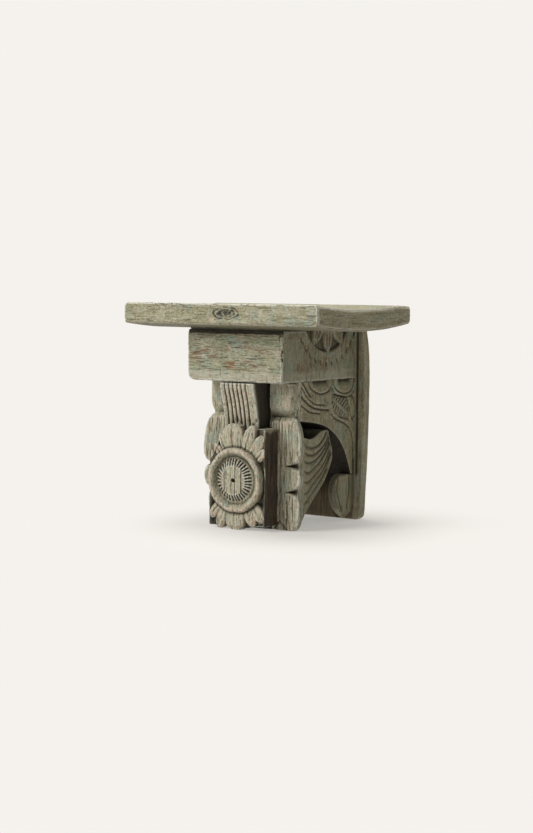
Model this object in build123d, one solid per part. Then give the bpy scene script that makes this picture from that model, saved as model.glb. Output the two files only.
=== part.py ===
from build123d import *
import os

os.makedirs("parts", exist_ok=True)

# A carved wooden corbel with a shelf board on top. Millimetres, +Z up, the front of the shelf faces -Y.
# The origin is the middle of the object's box, at the height of the surface it stands on.
# Most outlines are given by how far a point stands out from the wall, so wall(d) turns that into Y.

# Driving dimensions
SHELF_WIDTH = 238.0
SHELF_DEPTH = 178.0
SHELF_TOP = 230.0
BOARD_THICK = 21.3
CUP = 5.0               # how far the faces of the board dip at mid-depth
HEAD_WIDTH = 115.2
HEAD_LEFT = 59.3        # the head block reaches a little further out at the left
HEAD_FRONT = 147.5
HEAD_TOP = 203.0
HEAD_BOTTOM = 151.0
PLATE_THICK = 9.0       # back plate
PLATE_HALF = 70.5       # back plate, half its greatest width
ARM_FRONT = 112.0
LOBE_THICK = 8.0        # scalloped plates
PANEL_THICK = 21.0
PANEL_HALF = 35.0
NECK_HALF = 21.0
NECK_STAND = 145.0
NECK_SET_BACK = 6.0     # the neck's foot, behind the face of the panel
REEDS = 7
CORE_HALF = 21.0
DISC_RADIUS = 33.0
DISC_CENTRE = 50.5      # height of the rosette's centre
DISC_FACE = 148.0
NOTCHES = 36
HANGER_HEIGHT = 175.0   # middle of the keyhole plates
HANGER_SPREAD = 80.0    # between the two keyholes
SCREW_HEAD = 3.6        # wood screws: radius of the countersunk head
SCREW_SHANK = 1.9
SCREW_HEAD_LONG = 2.4
SHADOW_GAP = 1.5        # between the carved pieces and the head block above them
FIT = 0.1               # clearance round every dowel, nail and screw

ARM_HALF = HEAD_WIDTH / 2
PANEL_FRONT = ARM_FRONT + LOBE_THICK + PANEL_THICK
LOBE_FRONT = ARM_FRONT + LOBE_THICK
BOARD_UNDER = SHELF_TOP - BOARD_THICK
PANEL_TOP = 103.0
FRONT_TOP = HEAD_BOTTOM - SHADOW_GAP


def wall(d):
    """Y of a point that stands d out from the wall."""
    return SHELF_DEPTH / 2 - d


def block(x0, x1, d0, d1, z0, z1):
    """A box between two widths, two distances from the wall and two heights."""
    size = (x1 - x0, d1 - d0, z1 - z0)
    middle = ((x0 + x1) / 2, wall((d0 + d1) / 2), (z0 + z1) / 2)
    return Pos(*middle) * Box(*size)


def side_profile(edges, half_width):
    """A solid across the object from an outline of (d, z) edges."""
    face = make_face(Plane.YZ * edges)
    return extrude(face, half_width, both=True)


def at_wall(points):
    """(d, z) points as the (y, z) points of an outline."""
    return [(wall(d), z) for d, z in points]


def rod(radius, length, start, direction):
    """A round bar from start along a direction."""
    plane = Plane(origin=start, z_dir=direction)
    return plane * Cylinder(radius, length, align=(Align.CENTER, Align.CENTER, Align.MIN))


def dowel(radius, length, start, direction):
    """A dowel and the hole it sits in, which is FIT larger all round."""
    unit = Vector(*direction).normalized()
    hole_start = Vector(*start) - unit * FIT
    return rod(radius, length, start, direction), rod(radius + FIT, length + 2 * FIT, hole_start, direction)


def headed(radius, length, head_radius, head_length, start, direction):
    """A nail whose head starts at start, and its hole, which is open above the head."""
    unit = Vector(*direction).normalized()
    shank_start = Vector(*start) + unit * head_length
    nail = rod(head_radius, head_length, start, direction) + rod(radius, length, shank_start, direction)
    above = Vector(*start) - unit * 10
    pocket = rod(head_radius + FIT, 10 + head_length, above, direction)
    hole = pocket + rod(radius + FIT, length + FIT, shank_start, direction)
    return nail, hole


def wood_screw(start, length, direction):
    """A countersunk wood screw, its flat head at start, and its hole."""
    unit = Vector(*direction).normalized()
    plane = Plane(origin=start, z_dir=direction)
    low = (Align.CENTER, Align.CENTER, Align.MIN)
    shank_start = Vector(*start) + unit * SCREW_HEAD_LONG
    shank = length - SCREW_HEAD_LONG
    screw = plane * Cone(SCREW_HEAD, SCREW_SHANK, SCREW_HEAD_LONG, align=low)
    screw += rod(SCREW_SHANK, shank, shank_start, direction)
    hole = plane * Cone(SCREW_HEAD + FIT, SCREW_SHANK + FIT, SCREW_HEAD_LONG, align=low)
    hole += rod(SCREW_SHANK + FIT, shank + FIT, shank_start, direction)
    return screw, hole


def write(name, shape):
    """One STEP file for a node, whose list of solids is written as a group."""
    if isinstance(shape, list):
        shape = Compound(children=shape)
    shape.label = name
    export_step(shape, f"parts/{name}.step")


def mirrored(shape):
    return mirror(shape, about=Plane.YZ)


TOWARD_WALL = (0, 1, 0)
DOWN = (0, 0, -1)
UP = (0, 0, 1)
ACROSS = (1, 0, 0)

# ---- dowels, nails and screws, with the holes that every wooden piece gets ----
NAIL_HEADS = SHELF_TOP - CUP - 0.1
shelf_nails = [
    headed(1.6, 42, 3.4, 1.4, (x, wall(d), NAIL_HEADS), DOWN)
    for x in (-38, 38)
    for d in (62, 116)
]
head_dowels = [dowel(5, 30, (x, wall(d), HEAD_BOTTOM - 14), UP) for x in (-36, 36) for d in (30, 92)]
core_dowels = [dowel(4, 30, (0, wall(d), 92), UP) for d in (82, 104)]
shell_dowels = [dowel(3.5, 70, (-35, wall(d), z), ACROSS) for d, z in ((88, 80), (102, 44))]
panel_dowels = [dowel(4, 26, (0, wall(LOBE_FRONT + 11), z), TOWARD_WALL) for z in (16, 86)]
neck_dowel = [dowel(4, 26, (0, wall(ARM_FRONT + 13), 130), TOWARD_WALL)]
bud_dowels = [dowel(3, 22, (x, wall(26), 24), TOWARD_WALL) for x in (-46, 46)]
back_screws = [wood_screw((x, wall(0.3), z), 40, (0, -1, 0)) for x in (-18, 18) for z in (176, 124)]
rosette_nail = [headed(1.2, 40, 1.9, 1.2, (0, wall(142.5), DISC_CENTRE), TOWARD_WALL)]
plate_nail_places = [(44, 62), (40, 136), (44, 26)]
plate_nails = [
    headed(1.1, 14, 1.9, 0.8, (side * x, wall(LOBE_FRONT + 0.3), z), TOWARD_WALL)
    for side in (-1, 1)
    for x, z in plate_nail_places
]
hanger_screws = [
    wood_screw((side * HANGER_SPREAD / 2, wall(0.4), HANGER_HEIGHT + dz), 15, (0, -1, 0))
    for side in (-1, 1)
    for dz in (-19, 19)
]
fastener_groups = [
    shelf_nails, head_dowels, core_dowels, shell_dowels, panel_dowels, neck_dowel, bud_dowels,
    back_screws, rosette_nail, plate_nails, hanger_screws,
]
holes = [hole for group in fastener_groups for _, hole in group]


def drilled(shape):
    """The shape with the holes of every fastener that reaches it."""
    box = shape.bounding_box()
    for hole in holes:
        other = hole.bounding_box()
        clear = any(
            a1 < b0 or b1 < a0
            for a0, a1, b0, b1 in (
                (box.min.X, box.max.X, other.min.X, other.max.X),
                (box.min.Y, box.max.Y, other.min.Y, other.max.Y),
                (box.min.Z, box.max.Z, other.min.Z, other.max.Z),
            )
        )
        if not clear:
            shape = shape - hole
    return shape


# ---- shelf board: a plank whose faces have cupped, planed flat where it bears on the block ----
middle = SHELF_DEPTH / 2
under_mid = (middle, BOARD_UNDER - CUP - 1)
under_arc = ThreePointArc(*at_wall([(0, BOARD_UNDER), under_mid, (SHELF_DEPTH, BOARD_UNDER)]))
front_edge = Line(*at_wall([(SHELF_DEPTH, BOARD_UNDER), (SHELF_DEPTH, SHELF_TOP)]))
top_arc = ThreePointArc(*at_wall([(SHELF_DEPTH, SHELF_TOP), (middle, SHELF_TOP - CUP), (0, SHELF_TOP)]))
back_edge = Line(*at_wall([(0, SHELF_TOP), (0, BOARD_UNDER)]))
plank = side_profile(under_arc + front_edge + top_arc + back_edge, SHELF_WIDTH / 2)
plank = fillet(plank.edges().filter_by(Axis.Z), 3)
plank -= block(-ARM_HALF * 2, ARM_HALF * 2, 0, SHELF_DEPTH, HEAD_TOP - CUP, HEAD_TOP)
shelf_board = drilled(plank)

# ---- head block ----
head_block = block(-HEAD_LEFT, ARM_HALF, PLATE_THICK, HEAD_FRONT, HEAD_BOTTOM, HEAD_TOP)
head_block = fillet(head_block.edges().filter_by(Axis.Z).group_by(Axis.Y)[0], 1.5)
head_block = drilled(head_block)

# ---- arm: a bracket with an arched underside, and two arches let into each side ----
LEG_FOOT = 49.0         # height of the foot of the arm's back leg
soffit_points = [(ARM_FRONT, 111), (70, 104.4), (41, 88.5), (22, 62.7), (16, LEG_FOOT)]
soffit = Spline(*at_wall(soffit_points))
arm_back = Polyline(*at_wall([
    (16, LEG_FOOT), (PLATE_THICK, LEG_FOOT), (PLATE_THICK, HEAD_BOTTOM),
    (ARM_FRONT, HEAD_BOTTOM), (ARM_FRONT, 111),
]))
arm_solid = side_profile(soffit + arm_back, ARM_HALF)
ARCHES = [(76, 20, 14), (30, 19, 15)]     # distance from the wall, half width, depth
ARCH_CUT = 3.0
arm_block = arm_solid
for d, half_width, depth in ARCHES:
    for side in (-1, 1):
        plane = Plane(origin=(side * ARM_HALF, wall(d), HEAD_BOTTOM), x_dir=(0, 1, 0), z_dir=(side, 0, 0))
        arch = extrude(plane * Ellipse(half_width, depth), ARCH_CUT, both=True)
        arm_block -= arch & block(-ARM_HALF * 2, ARM_HALF * 2, 0, ARM_FRONT, LEG_FOOT, HEAD_BOTTOM - 2)
arm_block = drilled(arm_block)

# ---- back plate: sides bowed, bottom corners rounded, let in for the two keyhole hangers ----
PLATE_TOP = 207.0
PLATE_FOOT_HALF = 65.5
CORNER = 6.0
right_side = Spline((PLATE_FOOT_HALF, CORNER), (68.5, 60), (PLATE_HALF, 150), (PLATE_FOOT_HALF, PLATE_TOP))
corner_in = PLATE_FOOT_HALF - CORNER
corner_mid = (PLATE_FOOT_HALF - 0.3 * CORNER, 0.3 * CORNER)
right_corner = ThreePointArc((corner_in, 0), corner_mid, (PLATE_FOOT_HALF, CORNER))
right_half = right_corner + right_side
plate_outline = right_half + mirror(right_half, about=Plane.YZ)
plate_outline += Line((-corner_in, 0), (corner_in, 0))
plate_outline += Line((-PLATE_FOOT_HALF, PLATE_TOP), (PLATE_FOOT_HALF, PLATE_TOP))


def front_outline(edges, d0, d1):
    """A board between two distances from the wall, from an outline of (x, z) edges."""
    plane = Plane(origin=(0, wall(d0), 0), x_dir=(1, 0, 0), z_dir=(0, -1, 0))
    return extrude(make_face(plane * edges), d1 - d0, dir=(0, -1, 0))


HANGER_WIDTH = 16.0
HANGER_LONG = 50.0
HANGER_THICK = 2.0
KEY_HEAD = 4.5          # radius of the hole that a screw head goes in
KEY_SHANK = 2.25        # half the width of the slot above it
KEY_DROP = 5.0          # the hole is this far below the middle of the plate
KEY_RISE = 8.0          # the slot ends this far above it
back_plate = front_outline(plate_outline, 0, PLATE_THICK)
hangers = {}
for name, side in (("left_hanger", -1), ("right_hanger", 1)):
    x = side * HANGER_SPREAD / 2
    half, low, high = HANGER_WIDTH / 2, HANGER_HEIGHT - HANGER_LONG / 2, HANGER_HEIGHT + HANGER_LONG / 2
    plate = block(x - half, x + half, 0, HANGER_THICK, low, high)
    plate = fillet(plate.edges().filter_by(Axis.Y), 4)
    key = rod(KEY_HEAD, 20, (x, wall(10), HANGER_HEIGHT - KEY_DROP), TOWARD_WALL)
    key += rod(KEY_SHANK, 20, (x, wall(10), HANGER_HEIGHT + KEY_RISE), TOWARD_WALL)
    key += block(x - KEY_SHANK, x + KEY_SHANK, -10, 10, HANGER_HEIGHT - KEY_DROP, HANGER_HEIGHT + KEY_RISE)
    hangers[name] = drilled(plate - key)
    back_plate -= block(x - half - FIT, x + half + FIT, 0, HANGER_THICK, low - FIT, high + FIT)
    room = KEY_HEAD + 1
    deep = PLATE_THICK - 2
    room_low, room_high = HANGER_HEIGHT - KEY_DROP - room, HANGER_HEIGHT + KEY_RISE + room
    back_plate -= block(x - room, x + room, 0, deep, room_low, room_high)
back_plate = drilled(back_plate)

# ---- foot buds: a leaf bud under each side of the arm's leg ----
bud_outline = Polyline(*at_wall([
    (PLATE_THICK, LEG_FOOT), (41, LEG_FOOT), (49, 30), (27, 5), (PLATE_THICK, 15), (PLATE_THICK, LEG_FOOT),
]))
bud_profile = side_profile(bud_outline, ARM_HALF)
bud = bud_profile & block(34, ARM_HALF, 0, ARM_FRONT, 0, LEG_FOOT)
bud = fillet(bud.edges().group_by(Axis.Y)[0], 3)
right_foot_bud = drilled(bud)
left_foot_bud = drilled(mirrored(bud))

# ---- pendant drop: the core, and a swept leaf on each side of it ----
core_outline = Polyline(*at_wall([
    (LOBE_FRONT, 0), (LOBE_FRONT, PANEL_TOP), (ARM_FRONT, PANEL_TOP), (ARM_FRONT, 130), (72, 130), (72, 104),
    (106, 0), (LOBE_FRONT, 0),
]))
drop_core = drilled(side_profile(core_outline, CORE_HALF) - arm_solid)

LEAF_TOP = 97.0
LEAF_HALF = 56.0
leaf_back = Spline(*at_wall([(50, LEAF_TOP), (51, 80), (62, 58), (80, 36), (103, 16)]))
leaf_front = Polyline(*at_wall([(103, 16), (ARM_FRONT, 8), (ARM_FRONT, LEAF_TOP), (50, LEAF_TOP)]))
leaf = side_profile(leaf_back + leaf_front, LEAF_HALF)
leaf = leaf & block(CORE_HALF, LEAF_HALF, 0, ARM_FRONT, 0, LEAF_TOP)
swell_end = (LEAF_HALF - 7, wall(45))
swell = ThreePointArc((LEAF_HALF, wall(ARM_FRONT)), (LEAF_HALF - 1.5, wall(82)), swell_end)
inner_back, inner_front = (CORE_HALF, wall(45)), (CORE_HALF, wall(ARM_FRONT))
plan = swell + Polyline(swell_end, inner_back, inner_front, (LEAF_HALF, wall(ARM_FRONT)))
leaf = leaf & extrude(make_face(plan), LEAF_TOP, dir=(0, 0, 1))
leaf = leaf - arm_solid
right_shell_leaf = drilled(leaf)
left_shell_leaf = drilled(mirrored(leaf))

# ---- scalloped plates: four lobes down the outer edge ----
LOBES = [
    ((52.5, FRONT_TOP), (54.5, 134), (47, 115)),
    ((47, 115), (61.5, 90), (50, 66)),
    ((50, 66), (61, 52), (50, 37)),
    ((50, 37), (60.5, 19), (52, 0)),
]
NECK_GAP = 3.0
lobe_edge = Curve() + [ThreePointArc(*lobe) for lobe in LOBES]
inner_edge = Polyline(
    (52, 0), (CORE_HALF, 0), (CORE_HALF, PANEL_TOP), (CORE_HALF + NECK_GAP, PANEL_TOP),
    (CORE_HALF + NECK_GAP, FRONT_TOP), (52.5, FRONT_TOP),
)
lobed_plate = front_outline(lobe_edge + inner_edge, ARM_FRONT, LOBE_FRONT)
right_lobed_plate = drilled(lobed_plate)
left_lobed_plate = drilled(mirrored(lobed_plate))

# ---- pendant panel: a thick board, with raised petals above and below the rosette ----
PETAL_REACH = 43.0      # middle of a petal from the rosette's centre
PETAL_RISE = 4.5
# angle from upright, half width, half length
PETALS = [(0, 13, 15), (180, 13, 13)]
SIDE_PETALS = [(36, 10, 15), (70, 9, 13), (144, 11, 15)]
PETALS += [(side * angle, wide, long) for side in (-1, 1) for angle, wide, long in SIDE_PETALS]
pendant_panel = block(-PANEL_HALF, PANEL_HALF, LOBE_FRONT, PANEL_FRONT, 0, PANEL_TOP)
PETAL_TOP = 107.5
petal_room = block(-PANEL_HALF, PANEL_HALF, PANEL_FRONT, PANEL_FRONT + PETAL_RISE, 0, PETAL_TOP)
petal_plane = Plane(origin=(0, wall(PANEL_FRONT), DISC_CENTRE), x_dir=(1, 0, 0), z_dir=(0, -1, 0))
for angle, half_width, half_length in PETALS:
    outline = petal_plane * Rot(0, 0, -angle) * Pos(0, PETAL_REACH, 0) * Ellipse(half_width, half_length)
    pendant_panel += extrude(outline, PETAL_RISE) & petal_room
around_disc = rod(DISC_RADIUS + 0.3, PETAL_RISE + 5, (0, wall(PANEL_FRONT), DISC_CENTRE), (0, -1, 0))
pendant_panel = drilled(pendant_panel - around_disc)

# ---- reeded neck: hollow-curved in front, seven reeds down its face ----
REED_PITCH = 2 * NECK_HALF / REEDS
REED_DEPTH = 1.6


def neck_body(stand, half_width):
    """The neck's side profile, its front cut back by stand, to a half width."""
    foot = PANEL_FRONT - NECK_SET_BACK - stand
    curve = Spline(*at_wall([(foot, 110), (foot + 3.5, 130), (NECK_STAND - stand, 145)]))
    rest = Polyline(*at_wall([
        (NECK_STAND - stand, 145), (NECK_STAND - stand, FRONT_TOP),
        (ARM_FRONT, FRONT_TOP), (ARM_FRONT, PANEL_TOP),
        (foot, PANEL_TOP), (foot, 110),
    ]))
    return side_profile(curve + rest, half_width)


neck = neck_body(REED_DEPTH, NECK_HALF)
reed = neck_body(0, REED_PITCH * 0.36)
for index in range(REEDS):
    neck += Pos((index - (REEDS - 1) / 2) * REED_PITCH, 0, 0) * reed
reeded_neck = drilled(neck)

# ---- rosette: a turned boss with a raised rim, a dish and a notched centre ----
CENTRE_RADIUS = 20.0
NOTCH_LONG = 4.5
face_height = DISC_FACE - PANEL_FRONT
profile = Polyline(
    (0, 0), (DISC_RADIUS, 0), (DISC_RADIUS, face_height - 2), (DISC_RADIUS - 2, face_height),
    (DISC_RADIUS - 5, face_height - 0.5), (CENTRE_RADIUS + 4, face_height - 4),
    (CENTRE_RADIUS + 1, face_height - 4.5),
    (CENTRE_RADIUS, face_height - 2), (0, face_height - 1.5), (0, 0),
)
boss = revolve(make_face(Plane.XZ * profile), Axis.Z)
notch = Pos(CENTRE_RADIUS - 1, 0, face_height - 2) * Box(NOTCH_LONG, 1.1, 3)
for index in range(NOTCHES):
    boss -= Rot(0, 0, index * 360 / NOTCHES) * notch
rosette_disc = drilled(petal_plane * boss)

# ---- every node ----
nodes = {
    "shelf_board": shelf_board, "head_block": head_block, "arm_block": arm_block,
    "back_plate": back_plate,
    "left_foot_bud": left_foot_bud, "right_foot_bud": right_foot_bud, "drop_core": drop_core,
    "left_shell_leaf": left_shell_leaf, "right_shell_leaf": right_shell_leaf,
    "left_lobed_plate": left_lobed_plate, "right_lobed_plate": right_lobed_plate,
    "pendant_panel": pendant_panel, "reeded_neck": reeded_neck, "rosette_disc": rosette_disc,
    "shelf_nails": shelf_nails, "head_dowels": head_dowels, "core_dowels": core_dowels,
    "shell_dowels": shell_dowels, "panel_dowels": panel_dowels, "neck_dowel": neck_dowel,
    "bud_dowels": bud_dowels, "back_screws": back_screws, "rosette_nail": rosette_nail,
    "plate_nails": plate_nails, "hanger_screws": hanger_screws, **hangers,
}
for name, shape in nodes.items():
    write(name, [solid for solid, _ in shape] if isinstance(shape, list) else shape)
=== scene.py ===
# %% [markdown]
# # A carved corbel shelf
# This is a small wall shelf: a plank on top of a carved wooden bracket, in worn sage-green paint.
# A maker saws the boards, carves them with gouges, nails and pegs them together, primes them in red-brown
# and paints them. Years of hands then rub the edges bare. Each piece here is made in that order too:
# a plain block, then its carving, then its wear, and the paint last.

# %% Load the frame
import bpy
import numpy as np
from mathutils import Matrix, Vector


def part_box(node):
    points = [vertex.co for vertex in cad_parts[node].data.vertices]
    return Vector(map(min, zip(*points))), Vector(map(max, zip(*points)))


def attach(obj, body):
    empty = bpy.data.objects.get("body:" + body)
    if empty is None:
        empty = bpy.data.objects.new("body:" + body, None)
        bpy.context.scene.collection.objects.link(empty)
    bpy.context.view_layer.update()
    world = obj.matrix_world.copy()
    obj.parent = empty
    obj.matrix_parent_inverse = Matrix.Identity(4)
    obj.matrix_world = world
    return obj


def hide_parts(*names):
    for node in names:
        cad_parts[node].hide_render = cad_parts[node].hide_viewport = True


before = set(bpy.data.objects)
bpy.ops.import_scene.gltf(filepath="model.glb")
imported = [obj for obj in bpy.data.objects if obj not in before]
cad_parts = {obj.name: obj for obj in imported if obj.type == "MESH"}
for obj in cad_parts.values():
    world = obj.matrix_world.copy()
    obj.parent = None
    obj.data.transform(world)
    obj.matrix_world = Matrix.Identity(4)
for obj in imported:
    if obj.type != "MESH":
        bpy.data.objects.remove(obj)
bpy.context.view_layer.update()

MM = 0.001
print("nodes:", len(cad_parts))

# %% [markdown]
# ## Sizes
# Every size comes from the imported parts, in millimetres. The wall is the plane behind the shelf, and
# most carving is laid out by how far a point stands out from it, as a carver marks a side view.

# %% Sizes of the parts
def corners(node):
    """Lowest and highest corner of a part in millimetres."""
    return np.array(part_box(node)) / MM


BOARD_LOW, BOARD_HIGH = corners("shelf_board")
HEAD_LOW, HEAD_HIGH = corners("head_block")
ARM_LOW, ARM_HIGH = corners("arm_block")
PLATE_LOW, PLATE_HIGH = corners("back_plate")
LOBE_LOW, LOBE_HIGH = corners("right_lobed_plate")
PANEL_HIGH = corners("pendant_panel")[1]
NECK_LOW, NECK_HIGH = corners("reeded_neck").round(1)     # the drop's core is as wide as the neck
LOBE_TOP = LOBE_HIGH[2].round(1)
WALL = PLATE_HIGH[1]
HEAD_UNDER = HEAD_LOW[2].round(1)
ARM_FRONT = (WALL - ARM_LOW[1]).round(1)       # these two are measured out from the wall
PLATE_FRONT = (WALL - PLATE_LOW[1]).round(1)
print("shelf", (BOARD_HIGH - BOARD_LOW).round(1), "mm, wall at y =", WALL.round(1))


# %% [markdown]
# ## Helpers for carving
# Wood is never quite even, so the blocks need soft random waves. Value noise gives them: random heights
# on a lattice, blended smoothly in between. It's seeded, so each run carves the same shelf.

# %% Noise and smooth steps
def noise(points, size, seed):
    """Smooth noise, -1 to 1: random values at the corners of cubes `size` wide, blended by 3t^2 - 2t^3."""
    place = points / np.asarray(size, float)
    cell = np.floor(place).astype(np.int64)
    t = place - cell
    t = t * t * (3 - 2 * t)
    total = np.zeros(len(points))
    for corner in np.ndindex(2, 2, 2):
        i, j, k = (cell + corner).T
        mix = i * 73856093 ^ j * 19349663 ^ k * 83492791 ^ (seed * 40503 + 977)
        mix = (mix ^ (mix >> 13)) * 1274126177 & 0xFFFFFFFF
        mix = (mix ^ (mix >> 15)) * 2246822519 & 0xFFFFFFFF
        value = ((mix ^ (mix >> 16)) & 0xFFFF) / 32767.5 - 1
        total += value * np.prod(np.where(corner, t, 1 - t), axis=1)
    return total


def waves(points, size, seed, octaves=3):
    """Noise at `size`, half that at half the size, and so on."""
    size = np.asarray(size, float)
    return sum(noise(points, size / 2**n, seed + 31 * n) / 2**n for n in range(octaves))


def step(x, start, end):
    """0 before start, 1 after end, and 3t^2 - 2t^3 between; end may be the lower one."""
    t = np.clip((x - start) / (end - start), 0, 1)
    return t * t * (3 - 2 * t)


print("noise from", noise(np.random.default_rng(1).random((999, 3)) * 50, 7, 3).min().round(2))


# %% [markdown]
# ## A block to carve
# A sawn block is a box whose surface is a fine net of squares. The net's lines lie closer near the edges,
# because that is where the rounding and the wear show. Six flat grids are joined along the edges of the
# box, so the block is closed, and every later shape is only a function that moves its points.

# %% Blocks of squares
EDGE_STEPS = 4


def ticks(low, high, spacing, radius=1.0):
    """Grid lines from low to high: even in the middle, and at radius * (1 - tan a) from each end."""
    edge = radius * (1 - np.tan(np.linspace(np.pi / 4, 0, EDGE_STEPS)))
    count = max(2, int(round((high - low - 2 * radius) / spacing)) + 1)
    middle = np.linspace(low + radius, high - radius, count)
    return np.concatenate([low + edge[:-1], middle, high - edge[:-1][::-1]])


def block(xs, ys, zs):
    """Points and quads of a closed box: a grid on each side, corners on the given lines, edges shared."""
    lines = (xs, ys, zs)
    size = [len(line) for line in lines]
    keys, quads, base = [], [], 0
    for axis in range(3):
        a, b = [other for other in range(3) if other != axis]
        for end in (0, size[axis] - 1):
            i, j = np.meshgrid(np.arange(size[a]), np.arange(size[b]), indexing="ij")
            index = [None, None, None]
            index[axis], index[a], index[b] = np.full(i.shape, end), i, j
            keys.append(((index[0] * size[1] + index[1]) * size[2] + index[2]).ravel())
            grid = base + np.arange(i.size).reshape(i.shape)
            quad = np.stack([grid[:-1, :-1], grid[1:, :-1], grid[1:, 1:], grid[:-1, 1:]], -1).reshape(-1, 4)
            outward = (end > 0) != (axis == 1)
            quads.append(quad if outward else quad[:, ::-1])
            base += i.size
    unique, back = np.unique(np.concatenate(keys), return_inverse=True)
    k = unique % size[2]
    j = unique // size[2] % size[1]
    i = unique // (size[1] * size[2])
    return np.stack([xs[i], ys[j], zs[k]], -1), back[np.concatenate(quads)]


def rounded(points, radius):
    """The block with rounded edges, p = inner + radius * unit(p - inner), and the outward unit vectors."""
    low, high = points.min(0), points.max(0)
    inner = np.clip(points, low + radius, high - radius)
    away = points - inner
    away /= np.linalg.norm(away, axis=1, keepdims=True)
    return inner + radius * away, away


def walled(lines, edges):
    """Grid lines with a close pair added at each edge, so a step there stays sharp."""
    near = np.concatenate([[edge - 0.05, edge + 0.05] for edge in edges])
    kept = [line for line in lines if np.abs(line - near).min() > 0.3]
    return np.sort(np.concatenate([kept, near]))


def blank(low, high, spacing, radius, edges=((), (), ())):
    """A sawn block from corner to corner with rounded edges: its points, outward unit vectors and quads."""
    lines = [ticks(*axis, radius) for axis in zip(low, high, spacing)]
    flat, quads = block(*(walled(line, at) if len(at) else line for line, at in zip(lines, edges)))
    return *rounded(flat, radius), quads


def worn(points, away, amount, seed, chip=6.0):
    """Edges rubbed down: p - away * (amount * edge * rub + cut).

    edge is 1 on the rounded edges, rub is noise `chip` wide, and cut is the waviness of a hand-cut face."""
    edge = np.clip((1 - np.abs(away).max(1)) / 0.29, 0, 1.3)
    rub = np.clip(0.45 + 0.9 * waves(points, chip, seed, 2), 0, 1.6)
    cut = 0.12 * noise(points, 22, seed + 5) + 0.05 * noise(points, 7, seed + 6)
    return points - away * (amount * edge * rub + cut)[:, None]


# %% [markdown]
# ## From points to a piece
# Paint wears off corners, and hollows darken with dirt and with painted shade. Both follow from how the
# surface bends, so each piece measures that once it's carved: the mean of a point's neighbours lies below it
# on a corner and above it in a hollow. A piece can add to both, with edges that hands rub, some also given a
# painted highlight, and with cuts and gaps that hold dirt and painted shade, and says where its wood is bare.
# These three amounts are kept on the mesh, and the paint reads them later.
# The printed volume is above 0 only when the faces point out.

# %% Bend of the surface, and the finished piece
def normals_of(points, quads):
    """Unit normal at each point: the sum of the crossed diagonals of its quads."""
    cross = np.cross(points[quads[:, 2]] - points[quads[:, 0]], points[quads[:, 3]] - points[quads[:, 1]])
    total = np.zeros_like(points)
    for corner in range(4):
        for axis in range(3):
            total[:, axis] += np.bincount(quads[:, corner], cross[:, axis], len(points))
    return total / np.maximum(np.linalg.norm(total, axis=1, keepdims=True), 1e-12)


def spread(values, quads, rounds):
    """Each point's value blended with its neighbours' mean, a few times over."""
    pairs = np.concatenate([quads[:, [k, (k + 1) % 4]] for k in range(4)])
    count = np.bincount(pairs[:, 0], minlength=len(values)) + np.bincount(pairs[:, 1], minlength=len(values))
    for _ in range(rounds):
        total = np.bincount(pairs[:, 0], values[pairs[:, 1]], len(values))
        total += np.bincount(pairs[:, 1], values[pairs[:, 0]], len(values))
        values = 0.4 * values + 0.6 * total / np.maximum(count, 1)
    return values


def bend(points, quads):
    """How sharply the surface bends, per millimetre: above 0 on corners, below 0 in hollows."""
    normal = normals_of(points, quads)
    pairs = np.concatenate([quads[:, [k, (k + 1) % 4]] for k in range(4)])
    offset = points[pairs[:, 1]] - points[pairs[:, 0]]
    length2 = np.maximum((offset**2).sum(1), 1e-6)
    height = (offset * normal[pairs[:, 0]]).sum(1) / length2
    other = (-offset * normal[pairs[:, 1]]).sum(1) / length2
    total = np.bincount(pairs[:, 0], height, len(points)) + np.bincount(pairs[:, 1], other, len(points))
    count = np.bincount(pairs[:, 0], minlength=len(points)) + np.bincount(pairs[:, 1], minlength=len(points))
    return -2 * total / np.maximum(count, 1)


def volume_of(points, quads):
    """Volume inside the quads: a sixth of the sum of p . (q x r) over their triangles."""
    p, q, r, t = (points[quads[:, k]] for k in range(4))
    return ((p * np.cross(q, r)).sum() + (p * np.cross(r, t)).sum()) / 6


BEND_MOST = 1.5         # per millimetre: a sharper bend counts as this much
# Hollows darken by their bend: partly dirt, partly painted shade standing in for the shadow in them.
RUB_PER_BEND, GRIME_AND_SHADE_PER_BEND = 1.7, 1.8


def make_piece(name, nodes, parts, material, deep=0.0, bare=0.0, extra_pale=0.0):
    """A piece from one or more (points, quads) in millimetres, standing for the nodes named.

    rub = bend * RUB_PER_BEND + handled, grime = -bend * GRIME_AND_SHADE_PER_BEND + deep, and both stay in 0 to 1."""
    starts = np.cumsum([0] + [len(part_points) for part_points, _ in parts])
    points = np.concatenate([part_points for part_points, _ in parts])
    quads = np.concatenate([part_quads + start for (_, part_quads), start in zip(parts, starts)])
    bent = spread(np.clip(bend(points, quads), -BEND_MOST, BEND_MOST), quads, 3)
    layers = {
        "rub": np.clip(bent * RUB_PER_BEND + extra_pale, 0, 1),
        "grime_and_shade": np.clip(np.clip(-bent * GRIME_AND_SHADE_PER_BEND, 0, 1) + deep, 0, 1),
        "bare": bare + np.zeros(len(points)),
    }
    mesh = bpy.data.meshes.new(name)
    mesh.from_pydata(points * MM, [], quads)
    mesh.polygons.foreach_set("use_smooth", np.ones(len(quads), bool))
    for key, values in layers.items():
        mesh.attributes.new(key, "FLOAT", "POINT").data.foreach_set("value", values.astype(np.float32))
    mesh.update()
    mesh.materials.append(material)
    piece = bpy.data.objects.new(name, mesh)
    bpy.context.scene.collection.objects.link(piece)
    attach(piece, "root")
    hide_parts(*nodes)
    size, volume = (points.max(0) - points.min(0)).round(1), volume_of(points, quads) / 1000
    print(f"{name}: {len(quads)} quads, {size} mm, {volume:.1f} cm3")
    return piece


def on_side(side, points, quads):
    """The part as carved for the right, or for "left" with x turned to -x and its quads still facing out."""
    return (points * (-1, 1, 1), quads[:, ::-1]) if side == "left" else (points, quads)


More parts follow.
